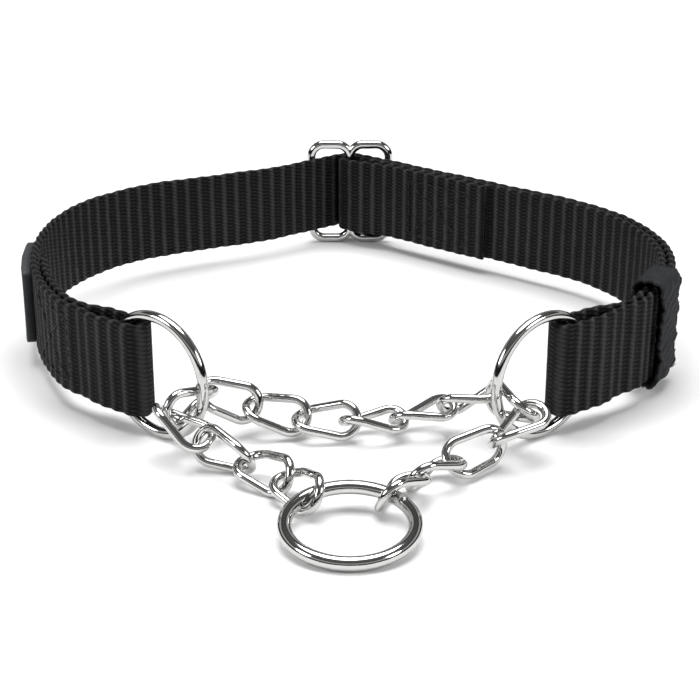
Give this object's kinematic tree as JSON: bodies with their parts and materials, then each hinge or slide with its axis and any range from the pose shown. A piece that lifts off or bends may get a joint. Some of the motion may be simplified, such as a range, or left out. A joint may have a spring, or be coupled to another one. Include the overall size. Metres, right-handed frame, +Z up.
{
  "type": "martingale collar",
  "caption": "Limited-slip dog collar: ribbed webbing strap with wire slider and keeper, two end rings, and a twisted-link chain loop that carries a leash ring.",
  "frame": {"origin": "middle of the footprint's box, on the surface that the collar stands on", "axes": "+Z up, along the webbing's width; -Y towards the chain and leash ring, +Y towards the slider; +X to the right seen from the chain side"},
  "size_m": [0.1467, 0.1871, 0.0285],
  "materials": {
    "black_webbing": "ribbed black polyamide webbing, soft sheen",
    "keeper_tape": "thin dark grey woven tape",
    "label_grey": "moulded dark grey rubber",
    "label_black": "moulded black rubber, matt",
    "label_red": "moulded red rubber",
    "plated_steel": "bright nickel-chrome plated steel wire"
  },
  "bodies": {
    "collar": {"webbing_strap": "black_webbing", "slider": "plated_steel", "label_rim": "label_grey", "label_plate": "label_black", "label_mark": "label_red"},
    "keeper": {"keeper_loop": "keeper_tape"},
    "ring_left": {"ring_left": "plated_steel"},
    "ring_right": {"ring_right": "plated_steel"},
    "leash_ring": {"leash_ring": "plated_steel"},
    "seat_link_left": {"seat_link_left": "plated_steel"},
    "near_link_left_1": {"near_link_left_1": "plated_steel"},
    "near_link_left_2": {"near_link_left_2": "plated_steel"},
    "near_link_left_3": {"near_link_left_3": "plated_steel"},
    "near_link_left_4": {"near_link_left_4": "plated_steel"},
    "far_link_left_1": {"far_link_left_1": "plated_steel"},
    "far_link_left_2": {"far_link_left_2": "plated_steel"},
    "far_link_left_3": {"far_link_left_3": "plated_steel"},
    "seat_link_right": {"seat_link_right": "plated_steel"},
    "near_link_right_1": {"near_link_right_1": "plated_steel"},
    "near_link_right_2": {"near_link_right_2": "plated_steel"},
    "near_link_right_3": {"near_link_right_3": "plated_steel"},
    "near_link_right_4": {"near_link_right_4": "plated_steel"},
    "far_link_right_1": {"far_link_right_1": "plated_steel"},
    "far_link_right_2": {"far_link_right_2": "plated_steel"},
    "far_link_right_3": {"far_link_right_3": "plated_steel"}
  },
  "joints": [
    {"name": "keeper_slide", "type": "hinge", "parent": "collar", "child": "keeper", "pos_m": [0.0205, 0.0109, 0.014], "axis": [0, 0, 1], "range_deg": [0, 70]},
    {"name": "ring_left_turn", "type": "hinge", "parent": "collar", "child": "ring_left", "pos_m": [-0.0374, -0.038, 0.0135], "axis": [-0.6018, -0.7986, 0], "continuous": true},
    {"name": "ring_right_turn", "type": "hinge", "parent": "collar", "child": "ring_right", "pos_m": [0.0394, -0.038, 0.0135], "axis": [0.6018, -0.7986, 0], "continuous": true},
    {"name": "seat_link_left_roll", "type": "hinge", "parent": "collar", "child": "seat_link_left", "pos_m": [-0.0306, -0.04313, 0.00953], "axis": [0.6018, 0.7986, 0], "range_deg": [-4, 4]},
    {"name": "seat_link_right_roll", "type": "hinge", "parent": "collar", "child": "seat_link_right", "pos_m": [0.0326, -0.04313, 0.00953], "axis": [-0.6018, 0.7986, 0], "range_deg": [-4, 4]},
    {"name": "near_link_left_1_lift", "type": "hinge", "parent": "collar", "child": "near_link_left_1", "pos_m": [-0.03442, -0.0482, 0.00953], "axis": [1, 0, 0], "range_deg": [-4, 16]},
    {"name": "near_link_left_2_lift", "type": "hinge", "parent": "near_link_left_1", "child": "near_link_left_2", "pos_m": [-0.02635, -0.05286, 0.00538], "axis": [1, 0, 0], "range_deg": [-7, 12]},
    {"name": "near_link_left_3_lift", "type": "hinge", "parent": "near_link_left_2", "child": "near_link_left_3", "pos_m": [-0.01765, -0.05788, 0.00361], "axis": [1, 0, 0], "range_deg": [-7, 6]},
    {"name": "near_link_left_4_lift", "type": "hinge", "parent": "near_link_left_3", "child": "near_link_left_4", "pos_m": [-0.01031, -0.06497, 0.00361], "axis": [1, 0, 0], "range_deg": [-5, 9]},
    {"name": "near_link_right_1_lift", "type": "hinge", "parent": "collar", "child": "near_link_right_1", "pos_m": [0.03642, -0.0482, 0.00953], "axis": [1, 0, 0], "range_deg": [-4, 16]},
    {"name": "near_link_right_2_lift", "type": "hinge", "parent": "near_link_right_1", "child": "near_link_right_2", "pos_m": [0.02835, -0.05286, 0.00538], "axis": [1, 0, 0], "range_deg": [-7, 12]},
    {"name": "near_link_right_3_lift", "type": "hinge", "parent": "near_link_right_2", "child": "near_link_right_3", "pos_m": [0.01965, -0.05788, 0.00361], "axis": [1, 0, 0], "range_deg": [-7, 6]},
    {"name": "near_link_right_4_lift", "type": "hinge", "parent": "near_link_right_3", "child": "near_link_right_4", "pos_m": [0.01231, -0.06497, 0.00361], "axis": [1, 0, 0], "range_deg": [-5, 9]},
    {"name": "leash_ring_tilt", "type": "hinge", "parent": "near_link_left_4", "child": "leash_ring", "pos_m": [0.001, -0.0714, 0.00401], "axis": [1, 0, 0], "range_deg": [-18, 4]},
    {"name": "far_link_left_1_swing", "type": "hinge", "parent": "collar", "child": "far_link_left_1", "pos_m": [-0.02677, -0.03806, 0.00953], "axis": [1, 0, 0], "range_deg": [-13, 40]},
    {"name": "far_link_left_2_swing", "type": "hinge", "parent": "collar", "child": "far_link_left_2", "pos_m": [-0.02677, -0.03806, 0.00953], "axis": [1, 0, 0], "range_deg": [-13, 40]},
    {"name": "far_link_left_3_swing", "type": "hinge", "parent": "collar", "child": "far_link_left_3", "pos_m": [-0.02677, -0.03806, 0.00953], "axis": [1, 0, 0], "range_deg": [-13, 40]},
    {"name": "far_link_right_1_swing", "type": "hinge", "parent": "collar", "child": "far_link_right_1", "pos_m": [0.02877, -0.03806, 0.00953], "axis": [1, 0, 0], "range_deg": [-13, 40]},
    {"name": "far_link_right_2_swing", "type": "hinge", "parent": "collar", "child": "far_link_right_2", "pos_m": [0.02877, -0.03806, 0.00953], "axis": [1, 0, 0], "range_deg": [-13, 40]},
    {"name": "far_link_right_3_swing", "type": "hinge", "parent": "collar", "child": "far_link_right_3", "pos_m": [0.02877, -0.03806, 0.00953], "axis": [1, 0, 0], "range_deg": [-13, 40]}
  ],
  "couplings": [
    {"joint": "near_link_right_1_lift", "follows": "near_link_left_1_lift", "ratio": 1},
    {"joint": "near_link_right_2_lift", "follows": "near_link_left_2_lift", "ratio": 1},
    {"joint": "near_link_right_3_lift", "follows": "near_link_left_3_lift", "ratio": 1},
    {"joint": "near_link_right_4_lift", "follows": "near_link_left_4_lift", "ratio": 1},
    {"joint": "far_link_left_2_swing", "follows": "far_link_left_1_swing", "ratio": 1},
    {"joint": "far_link_left_3_swing", "follows": "far_link_left_1_swing", "ratio": 1},
    {"joint": "far_link_right_1_swing", "follows": "far_link_left_1_swing", "ratio": 1},
    {"joint": "far_link_right_2_swing", "follows": "far_link_left_1_swing", "ratio": 1},
    {"joint": "far_link_right_3_swing", "follows": "far_link_left_1_swing", "ratio": 1}
  ]
}
